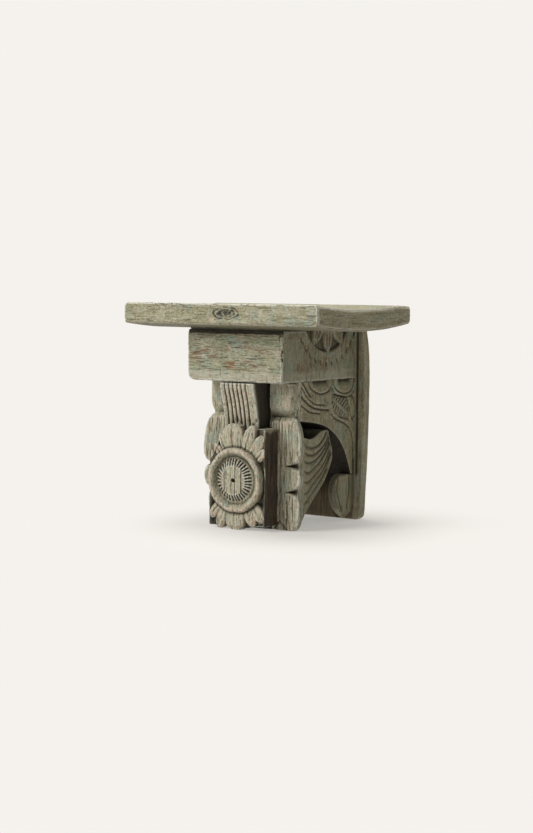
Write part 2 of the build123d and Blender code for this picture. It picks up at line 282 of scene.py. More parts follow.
def curve(route, count=12):
    """A smooth line through the route's points: Catmull-Rom, a cubic between each two that also looks at
    the points on either side of them."""
    p = np.asarray(route, float)
    p = np.vstack([2 * p[0] - p[1], p, 2 * p[-1] - p[-2]])
    t = np.linspace(0, 1, count, endpoint=False)[:, None]
    spans = [
        0.5 * (2 * b + (c - a) * t + (2 * a - 5 * b + 4 * c - d) * t**2 + (3 * b - a - 3 * c + d) * t**3)
        for a, b, c, d in zip(p[:-3], p[1:-2], p[2:-1], p[3:])
    ]
    return np.vstack(spans + [p[-2:-1]])


def read_off(at, line, left=None):
    """The line's second value where its first one is `at`, straight between its points."""
    order = np.argsort(line[:, 0])
    return np.interp(at, line[order, 0], line[order, 1], left=left)


def distance_to(line, u, v):
    """Distance of each (u, v) from a line of points, the least over its straight spans."""
    best = np.full(u.shape, 1e9)
    for (au, av), (bu, bv) in zip(line[:-1], line[1:]):
        du, dv = bu - au, bv - av
        t = np.clip(((u - au) * du + (v - av) * dv) / (du * du + dv * dv), 0, 1)
        best = np.minimum(best, np.hypot(u - au - t * du, v - av - t * dv))
    return best


def cut(distance, width, depth):
    """The cross-section of a gouge cut, depth * exp(-(distance / width)^2)."""
    return depth * np.exp(-((distance / width) ** 2))


# %% [markdown]
# ## Camera and light
# The camera looks at the shelf from the right of the front and a little above. The light is a big soft
# window to the left, with a weaker one overhead, so fronts are pale and right-hand sides lie in shade.

# %% Camera
CAMERA_PLACE = (0.98945, -1.44476, 0.25554)
TURN, TILT, ROLL = np.radians([34.43, 4.685, 0.351])
LENS = 73.156
ahead = Vector((-np.sin(TURN) * np.cos(TILT), np.cos(TURN) * np.cos(TILT), -np.sin(TILT)))
level_right = Vector((np.cos(TURN), np.sin(TURN), 0))
level_up = level_right.cross(ahead)
right = level_right * np.cos(ROLL) + level_up * np.sin(ROLL)
up = level_up * np.cos(ROLL) - level_right * np.sin(ROLL)
camera = bpy.data.objects.new("camera", bpy.data.cameras.new("camera"))
camera.data.lens = LENS
camera.matrix_world = Matrix.Translation(CAMERA_PLACE) @ Matrix((right, up, -ahead)).transposed().to_4x4()
bpy.context.scene.collection.objects.link(camera)
bpy.context.scene.camera = camera
bpy.context.scene.view_settings.view_transform = "Standard"
print("camera", camera.data.lens, "mm")


# %% Colours and nodes
def colour(code):
    """A linear RGBA colour from an sRGB hex code."""
    value = np.array([int(code[k : k + 2], 16) for k in (1, 3, 5)]) / 255
    linear = np.where(value <= 0.04045, value / 12.92, ((value + 0.055) / 1.055) ** 2.4)
    return (*linear, 1.0)


def add(tree, kind, inputs=None, **settings):
    """A shader node with its settings; each input is a value or the socket that feeds it."""
    made = tree.nodes.new("ShaderNode" + kind)
    for key, value in settings.items():
        setattr(made, key, value)
    for key, value in (inputs or {}).items():
        if isinstance(value, bpy.types.NodeSocket):
            tree.links.new(value, made.inputs[key])
        else:
            made.inputs[key].default_value = value
    return made


# %% Floor, world and lights
BACKDROP = "#F5F2ED"
FLOOR_HALF = 4.0
FLOOR_TONE = (0.65, 0.63, 0.60, 1.0)
SHADE_AT = (0.06, 0.0, 0.0)              # shadows show round this place, and fade out between two radii
SHADE_INNER, SHADE_OUTER = 0.06, 0.23
SHADE_DEPTH = 0.62
SKY_STRENGTH = 0.42


def backdrop_paper():
    """Pale studio paper: near the shelf it takes shadows, and further out it glows like the backdrop."""
    paper = bpy.data.materials.new("backdrop_paper")
    paper.use_nodes = True
    tree = paper.node_tree
    tree.nodes.clear()
    place = add(tree, "TexCoord").outputs["Object"]
    radius = add(tree, "VectorMath", {0: place, 1: SHADE_AT}, operation="DISTANCE").outputs["Value"]
    limits = {"Value": radius, "From Min": SHADE_INNER, "From Max": SHADE_OUTER, "To Min": SHADE_DEPTH,
              "To Max": 0.0}
    near = add(tree, "MapRange", limits, interpolation_type="SMOOTHSTEP").outputs["Result"]
    glow = add(tree, "Emission", {"Color": colour(BACKDROP), "Strength": 1.0}).outputs[0]
    lit = add(tree, "BsdfDiffuse", {"Color": FLOOR_TONE}).outputs[0]
    mixed = add(tree, "MixShader", {0: near, 1: glow, 2: lit}).outputs[0]
    add(tree, "OutputMaterial", {"Surface": mixed})
    return paper


floor_corners = [(x * FLOOR_HALF, y * FLOOR_HALF, 0) for x, y in ((-1, -1), (1, -1), (1, 1), (-1, 1))]
floor_mesh = bpy.data.meshes.new("floor")
floor_mesh.from_pydata(floor_corners, [], [(0, 1, 2, 3)])
floor_mesh.materials.append(backdrop_paper())
floor = bpy.data.objects.new("floor", floor_mesh)
bpy.context.scene.collection.objects.link(floor)

world = bpy.data.worlds.new("studio")
bpy.context.scene.world = world
world.use_nodes = True
world.node_tree.nodes.clear()
sky_tree = world.node_tree
seen = add(sky_tree, "LightPath").outputs["Is Camera Ray"]
strength = add(sky_tree, "MapRange", {"Value": seen, "To Min": SKY_STRENGTH, "To Max": 1.0}).outputs[0]
sky = add(sky_tree, "Background", {"Color": colour(BACKDROP), "Strength": strength}).outputs[0]
add(sky_tree, "OutputWorld", {"Surface": sky})
LIGHTS_AIM = Vector((0, 0, 0.12))


def soft_light(name, place, size, power):
    """A square soft light of `size` metres at `place`, turned to the middle of the shelf."""
    data = bpy.data.lights.new(name, "AREA")
    data.size, data.energy = size, power
    light = bpy.data.objects.new(name, data)
    light.location = place
    light.rotation_euler = (LIGHTS_AIM - Vector(place)).to_track_quat("-Z", "Y").to_euler()
    bpy.context.scene.collection.objects.link(light)


soft_light("window", (-0.98, -1.5, 1.15), 0.9, 36)
soft_light("ceiling", (0.0, 0.05, 1.6), 0.8, 20)
print("lights ready")


# %% [markdown]
# ## Old paint
# Sage-green oil paint over a red-brown primer, on wood. Where hands rub, the paint wears to a pale, pinkish
# undercoat, and rubbed edges go bluish-white: worn paint with a painted highlight. Along the grain it splits
# into fine dark cracks, and every hollow darkens with dirt and painted shade. Faces that look sideways get a
# painted olive shade. Each layer is a colour and a 0-to-1 map that says where it shows, laid over the ones
# before. Grain and cracks are noise stretched along the grain, with widths and lengths in millimetres. The
# finest are drawn about twice as wide as real pores and cracks, so that they show.

# %% Layers of colour
def patches(tree, mm, size, low, high, detail=2.0):
    """Spots `size` millimetres across on each axis: noise, 0 below low, 1 above high, smooth between."""
    scale = tuple(1 / length for length in size)
    place = add(tree, "VectorMath", {0: mm, 1: scale}, operation="MULTIPLY").outputs[0]
    value = add(tree, "TexNoise", {"Vector": place, "Scale": 1.0, "Detail": detail}).outputs[0]
    limits = {"Value": value, "From Min": low, "From Max": high}
    return add(tree, "MapRange", limits, interpolation_type="SMOOTHSTEP").outputs[0]


def layered(tree, base, layers):
    """The base colour with each layer (map, strength, hex colour) laid over it in turn."""
    shade = colour(base)
    for amount, strength, code in layers:
        part = add(tree, "Math", {0: amount, 1: strength}, operation="MULTIPLY").outputs[0]
        mixed = add(tree, "Mix", {0: part, 7: colour(code)}, data_type="RGBA")
        if isinstance(shade, tuple):
            mixed.inputs[6].default_value = shade
        else:
            tree.links.new(shade, mixed.inputs[6])
        shade = mixed.outputs[2]
    return shade


def raised(tree, heights):
    """A bump from maps that each rise by so many millimetres: total = sum(map * rise)."""
    total = 0.0
    for amount, rise in heights:
        total = add(tree, "Math", {0: amount, 1: rise, 2: total}, operation="MULTIPLY_ADD").outputs[0]
    return add(tree, "Bump", {"Height": total, "Distance": MM}).outputs[0]


# %% Old paint
X, Y, Z = range(3)


def old_paint(name, along, side_along, base, red, rubbed=0.6, pale=0.0, smooth=0.0, band=None,
              wood=("#4A3A25", "#0D0A06")):
    """Old oil paint on wood: the streaks run on one axis, and on another where a face looks sideways.

    red, rubbed and pale say how much primer, rubbed edge and undercoat shows, the rubbed edge being worn
    paint with a painted highlight; smooth softens the cracks; below the height `band` the paint is bleached;
    and wood is the colour and grain of the bare timber. Faces that look sideways also get painted shade."""
    material = bpy.data.materials.new(name)
    material.use_nodes = True
    tree = material.node_tree
    shader = tree.nodes["Principled BSDF"]
    place = add(tree, "TexCoord").outputs["Object"]
    mm = add(tree, "VectorMath", {0: place, "Scale": 1 / MM}, operation="SCALE").outputs[0]
    rub, grime_and_shade, bare = (add(tree, "Attribute", attribute_name=key).outputs["Fac"]
                        for key in ("rub", "grime_and_shade", "bare"))
    normal = add(tree, "NewGeometry").outputs["Normal"]
    turned = add(tree, "SeparateXYZ", {0: normal}).outputs[0]
    turned = add(tree, "Math", {0: turned}, operation="ABSOLUTE").outputs[0]
    sideways = add(tree, "MapRange", {"Value": turned, "From Min": 0.7, "From Max": 0.85}).outputs[0]

    def streaks(across, length, low, high, detail=2.0):
        """Patches `across` wide and `length` long, turned with the grain."""
        maps = []
        for axis in (along, side_along):
            size = [across] * 3
            size[axis] = length
            maps.append(patches(tree, mm, size, low, high, detail))
        if along == side_along:
            return maps[0]
        return add(tree, "Mix", {0: sideways, 2: maps[0], 3: maps[1]}).outputs[0]

    tone = streaks(9, 30, 0.36, 0.64)
    cool = patches(tree, mm, (13, 13, 17), 0.5, 0.66)
    warm = patches(tree, mm, (8, 8, 10), 0.5, 0.68, 3)
    mottle = patches(tree, mm, (3.4, 3.4, 3.0), 0.4, 0.62, 3)
    speck = patches(tree, mm, (2.6, 2.6, 1.5), 0.5, 0.66, 3)
    line = streaks(1.5, 24, 0.45, 0.65, 4)
    bands = patches(tree, mm, (44, 44, 13), 0.42, 0.58)
    primer = streaks(1.5, 11, 0.6 - 0.12 * red, 0.7 - 0.12 * red, 6)
    primer = add(tree, "Math", {0: primer, 1: bands}, operation="MULTIPLY").outputs[0]
    crack = streaks(0.95, 15, 0.615, 0.68, 3)
    pore = streaks(1.5, 3.6, 0.61, 0.7, 2)
    flake = patches(tree, mm, (2.8, 2.8, 2.8), 0.3, 0.54, 3)
    broken = add(tree, "Math", {0: rub, 1: flake}, operation="MULTIPLY").outputs[0]
    pink = add(tree, "MapRange", {"Value": broken, "From Min": 0.1, "From Max": 0.35}).outputs[0]
    blue_wear_and_highlight = add(tree, "MapRange", {"Value": broken, "From Min": 0.3, "From Max": 0.55}).outputs[0]
    # Olive stain and near-black in hollows and gaps: dirt, and painted shade where shadow falls.
    stain_and_shade = add(tree, "MapRange", {"Value": grime_and_shade, "From Min": 0.02, "From Max": 0.4}).outputs[0]
    dirt_and_shade = add(tree, "MapRange", {"Value": grime_and_shade, "From Min": 0.15, "From Max": 0.85}).outputs[0]
    raw = streaks(1.8, 30, 0.4, 0.6, 4)
    timber = layered(tree, wood[0], [(raw, 0.85, wood[1])])
    layers = [
        (tone, 0.6, "#A5A088"),
        (mottle, 0.3 + 0.3 * pale, "#B9B2A0"),
        (cool, 0.5, "#869A90"),
        (warm, 0.3 + 0.3 * pale, "#BBA58F"),
        (line, 0.32, "#706B4E"),
        (primer, 0.35 + 0.42 * red, "#744B2D"),
        (pore, 0.5 - 0.2 * smooth, "#4F4A37"),
        (speck, 0.35 + 0.25 * smooth, "#605B40"),
    ]
    if band is not None:
        height = add(tree, "SeparateXYZ", {0: mm}).outputs[2]
        below = {"Value": height, "From Min": band + 2, "From Max": band - 2}
        layers.append((add(tree, "MapRange", below).outputs[0], 0.5, "#AFAB97"))
    layers += [
        (pink, 0.75 * rubbed, "#C4AE9A"),
        # Bluish-white on rubbed edges: worn paint and a painted highlight.
        (blue_wear_and_highlight, 0.8 * rubbed, "#B9C4BA"),
        (crack, 0.75 - 0.35 * smooth, "#2C271B"),
        # Faces that look sideways are darkened to deep olive: painted shade.
        (sideways, 0.34, "#494318"),
        (stain_and_shade, 0.5, "#5A542C"),
    ]
    paint = layered(tree, base, layers)
    skin = add(tree, "Mix", {0: bare, 6: paint, 7: timber}, data_type="RGBA").outputs[2]
    # Near-black laid over paint and wood: dirt and painted shade.
    dirt_and_shade_mix = add(tree, "Math", {0: dirt_and_shade, 1: 0.9}, operation="MULTIPLY").outputs[0]
    skin = add(tree, "Mix", {0: dirt_and_shade_mix, 6: skin, 7: colour("#1A150B")}, data_type="RGBA").outputs[2]
    tree.links.new(skin, shader.inputs["Base Color"])
    rough = add(tree, "MapRange", {"Value": line, "To Min": 0.62, "To Max": 0.88}).outputs[0]
    tree.links.new(rough, shader.inputs["Roughness"])
    bump = raised(tree, [(tone, 0.25), (mottle, 0.22), (line, -0.14), (primer, -0.2), (crack, -0.55),
                         (pore, -0.3), (raw, -0.2)])
    tree.links.new(bump, shader.inputs["Normal"])
    return material


board_paint = old_paint("old_paint_on_board", X, Y, base="#82805F", red=0.1, smooth=1.0)
block_paint = old_paint("old_paint_on_block", X, Z, base="#787F62", red=1.05, band=161, smooth=0.5)
side_paint = old_paint("old_paint_on_arm", Z, Z, base="#868260", red=0.1, rubbed=0.3,
                       wood=("#6B5433", "#3A2C18"))
carved_paint = old_paint("old_paint_on_carving", Z, Z, base="#A3A28A", red=0.35, rubbed=1.0, pale=0.7)
print("paints ready")

# %% [markdown]
# ## The board
# A plank that has cupped: as it dried its faces dipped, by 5 mm at mid-depth. It starts as a flat block with
# worn edges, and then every point moves down by the dip at its place.

# %% Shelf board
BOARD_THICK = 21.3
TOP_DIP, UNDER_DIP = 5.0, 6.0
EDGE_ROUND, END_ROUND, CORNER_ROUND = 0.9, 5.0, 3.0
WORN_BACK = 2.6             # the top's rear edge is worn lower by this much
KNOT_AT, KNOT_SIZE, KNOT_RINGS = (10.5, 220.5), (18.0, 7.5), 3.2
SEAT_HALF, SEAT_REAR, SEAT_FRONT = 57.0, 10.0, 146.5     # where the head block bears on the board
LEVEL_HALF = 115.0          # inside this the under face never dips below the block's top
NAIL_PLACES = [(x, d) for x in (-38, 38) for d in (62, 116)]
NAIL_SINK = 1.3


def round_corners(points, a, b, low, high):
    """Edges rounded in the plane of axes a and b: past the inner rectangle, square rings become circles."""
    plane = points[:, [a, b]]
    inner = np.clip(plane, low, high)
    away = plane - inner
    scale = np.abs(away).max(1) / np.maximum(np.hypot(away[:, 0], away[:, 1]), 1e-9)
    points = points.copy()
    points[:, [a, b]] = inner + away * scale[:, None]
    return points


def out_from_wall(points):
    """How far each point stands out from the wall, in millimetres."""
    return WALL - points[:, 1]


def knot_and_core(x, z, points, front):
    """Rings of a knot, 0.5 - 0.5 cos(2 pi n r) of the distance r from its middle, and its dark core."""
    ring = np.hypot((x - KNOT_AT[0]) / KNOT_SIZE[0], (z - KNOT_AT[1]) / KNOT_SIZE[1])
    ring = ring + 0.1 * waves(points, 5, 9, 2)
    rough = np.clip(0.7 + 0.7 * waves(points, 2.6, 10, 2), 0, 1.2)
    rings = 0.5 - 0.5 * np.cos(2 * np.pi * KNOT_RINGS * ring)
    return front * step(ring, 1.2, 0.7) * rings * rough, front * step(ring, 0.5, 0.25) * rough


def shelf_board():
    """The plank: z from under face to top face, each lowered by dip * (1 - s^2), s from the middle."""
    low = np.array([*BOARD_LOW[:2], BOARD_HIGH[2] - BOARD_THICK])
    points, away, quads = blank(low, BOARD_HIGH, (1.0, 1.3, 0.8), EDGE_ROUND)
    ends = BOARD_HIGH[0] - END_ROUND
    points = round_corners(points, X, Z, (-ends, low[2] + END_ROUND), (ends, BOARD_HIGH[2] - END_ROUND))
    sides = BOARD_HIGH[0] - CORNER_ROUND
    depth_low, depth_high = low[1] + CORNER_ROUND, BOARD_HIGH[1] - CORNER_ROUND
    points = round_corners(points, X, Y, (-sides, depth_low), (sides, depth_high))
    x, d, z = points[:, 0].copy(), out_from_wall(points), points[:, 2].copy()
    front = step(-away[:, 1], 0.6, 0.95)
    knot, core = knot_and_core(x, z, points, front)
    points = worn(points, away, 0.5, 3, chip=9)
    grain = front * 0.35 * np.clip(waves(points, (6, 9, 2.2), 15, 2), 0, 1)
    points[:, 1] += 0.8 * knot + 0.6 * core + grain
    across = 1 - (points[:, 1] / BOARD_HIGH[1]) ** 2
    share = (z - low[2]) / BOARD_THICK
    under = np.maximum(low[2] - UNDER_DIP * across, HEAD_HIGH[2] * (np.abs(x) < LEVEL_HALF))
    seated = (np.abs(x) < SEAT_HALF) & (d > SEAT_REAR) & (d < SEAT_FRONT)
    under = np.where(seated, HEAD_HIGH[2], under)
    sunk = sum(step(np.hypot(x - nail_x, d - nail_d), 4.4, 3.6) for nail_x, nail_d in NAIL_PLACES)
    top = BOARD_HIGH[2] - TOP_DIP * across - NAIL_SINK * sunk - WORN_BACK * step(points[:, 1], 66, 88)
    points[:, 2] += under + share * (top - under) - z
    # The lowest tenth of the board, its under face and where it rests on the block are darkened: painted
    # shade under the board. The knot's rings and core are its own dark wood.
    deep = 0.3 * (share < 0.1) + seated * (share < 0.5) + 0.95 * knot + 0.6 * core
    return make_piece("cupped_shelf_board", ["shelf_board"], [(points, quads)], board_paint,
                      deep=np.clip(deep, 0, 1), extra_pale=front * 0.25 * step(z, 227, 230))


shelf_board()

# %% [markdown]
# ## The head block and its half flower
# Under the board sits a heavy block. Each side has the lower half of a flower: petals every 35 degrees round
# a centre above the block, the ground between them cut deep, and a ring of gouge stabs outside. A cut is a
# depth for each point of the side, so it is worked out on the grid and pushes the side's points inwards.

# %% Carving on the sides of the block
FLOWER_AT = (62.5, 228.0)
PETAL_TURN = np.radians(35)
PETAL_TIP = 49.0
PETAL_HALF = 7.6
STAB_RADIUS = 60.0
STABS = np.radians(np.arange(-59, 58, 10.3))


def flower_depth(d, z):
    """Ground between petals 3.4 mm deep, two veins down each petal, and the ring of stabs."""
    u, v = d - FLOWER_AT[0], FLOWER_AT[1] - z
    radius, angle = np.hypot(u, v), np.arctan2(u, v)
    turn = angle - np.clip(np.round(angle / PETAL_TURN), -2, 2) * PETAL_TURN
    along, across = radius * np.cos(turn), np.abs(radius * np.sin(turn))
    half = PETAL_HALF * np.clip((PETAL_TIP - along) / 13, 0, 1) ** 0.75
    ground = step(across - half, -0.3, 1.0) * step(radius, 49, 46.5)
    veins = cut(across - 2.2, 0.8, 1.3) * step(along, 43, 38)
    depth = 3.6 * ground + veins * (1 - ground)
    for stab in STABS:
        su, sv = u - STAB_RADIUS * np.sin(stab), v - STAB_RADIUS * np.cos(stab)
        lean = -0.55 * stab
        wide = su * np.cos(lean) - sv * np.sin(lean)
        long = su * np.sin(lean) + sv * np.cos(lean)
        size = 2.3 + 1.4 * abs(stab)
        depth = np.maximum(depth, 3.0 * np.exp(-((wide / 1.55) ** 2) - (long / size) ** 4))
    return depth


def carve_sides(points, away, depth):
    """Side points moved inwards by depth where the surface faces sideways."""
    facing = np.where(np.abs(away[:, 0]) > 0.9, np.sign(away[:, 0]), 0)
    points[:, 0] -= facing * depth
    return points, depth * np.abs(facing)


# %% Head block
HEAD_ROUND, HEAD_WEAR = 1.2, 1.9
LOW_LEFT_ROUND = 9.0
TOOLED_BELOW = 166.0        # below this height the front shows tool marks


def head_block():
    """The block: carved sides, a rounded lower left corner, a flaked front corner, and along the top of its
    front a band set back a little and darkened as painted shadow under the board.
    """
    points, away, quads = blank(HEAD_LOW, HEAD_HIGH, (0.85, 0.85, 0.8), HEAD_ROUND)
    points, depth = carve_sides(points, away, flower_depth(out_from_wall(points), points[:, 2]))
    points = worn(points, away, HEAD_WEAR, 7, chip=5)
    front = step(points[:, 1], HEAD_LOW[1] + 4, HEAD_LOW[1])
    past_x = np.minimum(points[:, 0] - HEAD_LOW[0] - LOW_LEFT_ROUND, 0)
    past_z = np.minimum(points[:, 2] - HEAD_LOW[2] - LOW_LEFT_ROUND, 0)
    pull = np.maximum(np.hypot(past_x, past_z) - LOW_LEFT_ROUND, 0) * (past_z < 0)
    points[:, 0] += pull * 0.7
    points[:, 2] += pull * 0.7
    x, z = points[:, 0].copy(), points[:, 2].copy()
    tool = 0.8 * np.clip(waves(points, (2.6, 40, 15), 12, 3) - 0.45, 0, 1)
    tool = tool * step(z, TOOLED_BELOW, 158) * front
    flaked = np.clip(waves(points, (3.0, 6, 3.0), 14, 2) - 0.1, 0, 1)
    flaked = flaked * step(x, HEAD_HIGH[0] - 7, HEAD_HIGH[0] - 1) * (front * step(z, 168, 176))
    # Along the top of the front the block is set back and darkened: painted shadow under the board's
    # overhang.
    shadowed_seat = front * step(z, HEAD_HIGH[2] - 4.2 + 1.2 * noise(points, 7, 16), HEAD_HIGH[2] - 2.4)
    points[:, 1] += 0.9 * tool + front * 0.4 * step(z, 165, 160) + 1.6 * flaked + 1.2 * shadowed_seat
    deep = np.clip(depth * 0.2 - 0.25, 0, 0.45) + 0.9 * tool + 1.2 * flaked + shadowed_seat
    return make_piece("carved_head_block", ["head_block"], [(points, quads)], block_paint,
                      deep=np.clip(deep, 0, 1))


head_block()

# %% [markdown]
# ## The arm
# The arm is a bracket with an arched underside. Its sides are covered with shallow cuts: two spoon-shaped
# arches under the block, long sweeping lines, a leaf with slanting cuts, and a stem down the leg. Every line
# is a smooth curve through a few points, and its cut has a rounded bottom.

# %% Carving on the sides of the arm
SWEEP_LINES = [
    # width and depth of the cut, then its route: out from the wall, and height
    (1.4, 1.7, [(121, 149), (118.6, 136), (108, 126.2), (94.8, 119.7), (77.5, 117.1)]),
    (1.6, 2.4, [(115, 149), (110.2, 137.7), (102.6, 130.5), (89, 124), (73.7, 121), (60, 119.7)]),
    (1.7, 2.4, [(107.5, 149.5), (100.8, 142.3), (94, 135.8)]),
    (1.3, 1.4, [(111.5, 149.5), (105.8, 140.3), (97.5, 133), (84, 127), (68, 125.5)]),
    (1.4, 1.9, [(98, 150), (96, 146), (89.4, 141.4), (75.9, 137.2), (62, 138.5), (54.5, 144), (53, 150)]),
    (1.5, 2.1, [(50.5, 150), (49, 144.5), (42.5, 139), (29, 135.3), (16.5, 137.2), (11, 144), (10, 150)]),
    (1.4, 1.9, [(54, 143), (46.4, 136.2), (30.3, 132.6), (16, 132.6), (11, 136)]),
    (1.5, 2.2, [(54, 115.6), (45.9, 109.8), (29.7, 104.4), (18.5, 98.2), (12.6, 88.9), (11.2, 77.8),
                (11, 50)]),
]
SPOONS = [(74.5, 20.5, 12), (29.0, 17.5, 14)]       # middle out from the wall, half width, height
SPOON_DEPTH = 4.0
LEAF_CORNERS = [(52.3, 136), (22, 130.5), (18.5, 120), (19.6, 107.5), (37, 111), (50, 118.5), (53.5, 128),
                (52.3, 136)]
LEAF_MIDDLE, HATCH_APART = (36.0, 121.0), 4.6
OVAL_AT, OVAL_HALF = (13.0, 119.5), (4.2, 11.8)
BURR = curve([(100, 134), (86, 129), (66, 128)])    # torn grain lies along this line


def inside(corners, u, v):
    """1 inside the outline and 0 outside: the crossings of a ray to the right are counted."""
    crossings = np.zeros(u.shape, int)
    for (au, av), (bu, bv) in zip(corners[:-1], corners[1:]):
        spans = (av > v) != (bv > v)
        crossings += spans & (u < au + (v - av) * (bu - au) / (bv - av if bv != av else 1))
    return (crossings % 2).astype(float)


def arm_depth(d, z):
    """All cuts on one side of the arm, a depth at each distance from the wall and height."""
    depth = np.zeros_like(d)
    for width, deep, route in SWEEP_LINES:
        depth = np.maximum(depth, cut(distance_to(curve(route), d, z), width, deep))
    for middle, half, tall in SPOONS:
        bowl = np.clip(1 - ((d - middle) / half) ** 2 - ((HEAD_UNDER - z) / tall) ** 2, 0, 1)
        mouth = step(np.abs(d - middle), half * 0.9, half * 0.55)
        depth += SPOON_DEPTH * mouth * step(z, 142, HEAD_UNDER) ** 1.6 + 1.0 * bowl
    leaf = inside(LEAF_CORNERS, d, z)
    edge = distance_to(LEAF_CORNERS, d, z)
    slant = (d - LEAF_MIDDLE[0]) * 0.8 + (z - LEAF_MIDDLE[1]) * 0.6
    across = (d - LEAF_MIDDLE[0]) * 0.5 - (z - LEAF_MIDDLE[1]) * 0.87
    hatch = 0.5 - 0.5 * np.cos(2 * np.pi * (slant + 0.02 * across**2) / HATCH_APART)
    hatch = hatch * step(np.abs(across + 1), 1.2, 2.4)
    depth += leaf * (0.8 + 2.0 * hatch * step(edge, 0.6, 2)) + cut(edge, 1.1, 2.2)
    oval = np.hypot((d - OVAL_AT[0]) / OVAL_HALF[0], (z - OVAL_AT[1]) / OVAL_HALF[1])
    depth += 1.9 * np.exp(-(((oval - 1) / 0.16) ** 2)) - 1.2 * np.clip(1 - oval**2, 0, 1)
    rough = step(distance_to(BURR, d, z), 7, 3)
    points = np.column_stack([d, z, 0 * d])
    return depth + 0.9 * rough * np.clip(noise(points, (2.6, 2.2, 1), 41), 0, 1)


# %% Arm
SOFFIT = curve([(112, 111), (91, 108.6), (70, 104.4), (55, 98), (41, 88.5), (30, 76.5), (22, 62.7),
                (17.5, 53), (16, 49)])
LEG_FOOT = 49.0
BLANK_TALL = 100
CORNER_SOFT, CORNER_SOFTER, SOFTEST_AT = 6.0, 9.0, 115     # front corners: round, and rounder at a height


def soffit(d):
    """Height of the arm's underside at each distance from the wall, read off its curve."""
    return read_off(d, SOFFIT, left=LEG_FOOT)


def arm():
    """A block whose heights are squeezed between the soffit and the underside of the head block."""
    points, away, quads = blank((ARM_LOW[0], WALL - ARM_FRONT, 0),
                                (ARM_HIGH[0], WALL - PLATE_FRONT, BLANK_TALL), (2.2, 0.7, 0.85), 1.0)
    low = soffit(out_from_wall(points))
    points[:, 2] = low + points[:, 2] / BLANK_TALL * (HEAD_LOW[2] - low)
    soft = CORNER_SOFT + CORNER_SOFTER * np.exp(-(((points[:, 2] - SOFTEST_AT) / 7) ** 2))
    box_low = np.column_stack([soft - ARM_HIGH[0], WALL - ARM_FRONT + soft])
    box_high = np.column_stack([ARM_HIGH[0] - soft, np.full(len(soft), WALL - PLATE_FRONT)])
    points = round_corners(points, X, Y, box_low, box_high)
    under = step(-away[:, 2], 0.5, 0.9)
    points, depth = carve_sides(points, away, arm_depth(out_from_wall(points), points[:, 2]))
    points = worn(points, away, 0.7, 21)
    # Cuts darken with dirt and painted shade; the underside is bare wood, darkened as painted shade.
    deep = np.maximum(np.clip(depth * 0.16 - 0.22, 0, 0.55), under)
    return make_piece("carved_arm", ["arm_block"], [(points, quads)], side_paint, deep=deep, bare=under)


arm()

# %% [markdown]
# ## The back plate
# The board that lies on the wall bows out at its middle and has rounded lower corners. A groove runs down it
# beside the arm. Its back is let in for the two keyhole hangers, so the grid gets lines close together at the
# edges of those pockets, which keeps their walls upright.

# %% Back plate
HANGER_LOW, HANGER_HIGH = corners("right_hanger")
HANGER_AT = 40.0                                   # from the middle to the middle of each hanger
POCKET_DEEP, ROOM_DEEP, SCREW_SINK = 2.2, 6.9, 0.7   # the room behind a keyhole takes the screw's head
ROOM_X, ROOM_Z = [34.5, 45.5], [164.5, 188.5]
SCREWS_AT = [(x, z) for x in (-18, 18) for z in (176, 124)]
PLATE_HALF, STRAIGHT_HALF, FOOT_ROUND = 70.5, 52.0, 7.0
PLATE_SIDE = curve([(65.5, 0), (66.7, 25), (68.5, 60), (70.0, 106), (70.5, 150), (69.2, 182), (65.5, 207)])
GROOVE_AT = 59.3


def back_plate():
    """The plate, x scaled to the bowed side past STRAIGHT_HALF, pockets pushed in from the back."""
    pocket_x = [HANGER_LOW[0] - 0.2, HANGER_HIGH[0] + 0.2]
    pocket_z = [HANGER_LOW[2] - 0.2, HANGER_HIGH[2] + 0.2]
    edges_x = sorted([*pocket_x, *ROOM_X])
    points, away, quads = blank(
        (-PLATE_HALF, *PLATE_LOW[1:]), (PLATE_HALF, *PLATE_HIGH[1:]), (1.15, 1.1, 1.5), 1.2,
        edges=([-x for x in edges_x[::-1]] + edges_x, (), sorted([*pocket_z, *ROOM_Z])),
    )
    points = worn(points, away, 1.2, 33)
    x, z = points[:, 0], points[:, 2]
    half = read_off(z, PLATE_SIDE[:, ::-1])
    half -= FOOT_ROUND - np.sqrt(np.maximum(FOOT_ROUND**2 - np.maximum(FOOT_ROUND - z, 0) ** 2, 0))
    outer = np.maximum(np.abs(x) - STRAIGHT_HALF, 0) * (half - STRAIGHT_HALF) / (PLATE_HALF - STRAIGHT_HALF)
    points[:, 0] = np.sign(x) * (np.minimum(np.abs(x), STRAIGHT_HALF) + outer)
    front, back = away[:, 1] < -0.9, away[:, 1] > 0.9
    groove = cut(np.abs(points[:, 0]) - GROOVE_AT, 1.3, 2.6) * step(z, 44, 52) * step(z, 203, 196)
    points[:, 1] += front * groove
    from_hanger = np.abs(np.abs(x) - HANGER_AT)
    pocket = (from_hanger < (pocket_x[1] - pocket_x[0]) / 2) & (z > pocket_z[0]) & (z < pocket_z[1])
    room = (from_hanger < (ROOM_X[1] - ROOM_X[0]) / 2) & (z > ROOM_Z[0]) & (z < ROOM_Z[1])
    screws = sum(step(np.hypot(x - screw_x, z - screw_z), 4.4, 3.8) for screw_x, screw_z in SCREWS_AT)
    points[:, 1] -= back * np.maximum(np.where(room, ROOM_DEEP, POCKET_DEEP * pocket), SCREW_SINK * screws)
    # Behind the drop the face is three-quarters bare wood and, from 16 mm up, darkened as painted shade; the
    # groove holds dirt and painted shade.
    hidden = front * (np.abs(points[:, 0]) < 56) * step(z, 100, 92)
    return make_piece("bowed_back_plate", ["back_plate"], [(points, quads)], side_paint,
                      deep=np.maximum(groove * 0.3 * front, hidden * step(z, 16, 50)),
                      bare=np.clip(back + 0.75 * hidden, 0, 1))


back_plate()

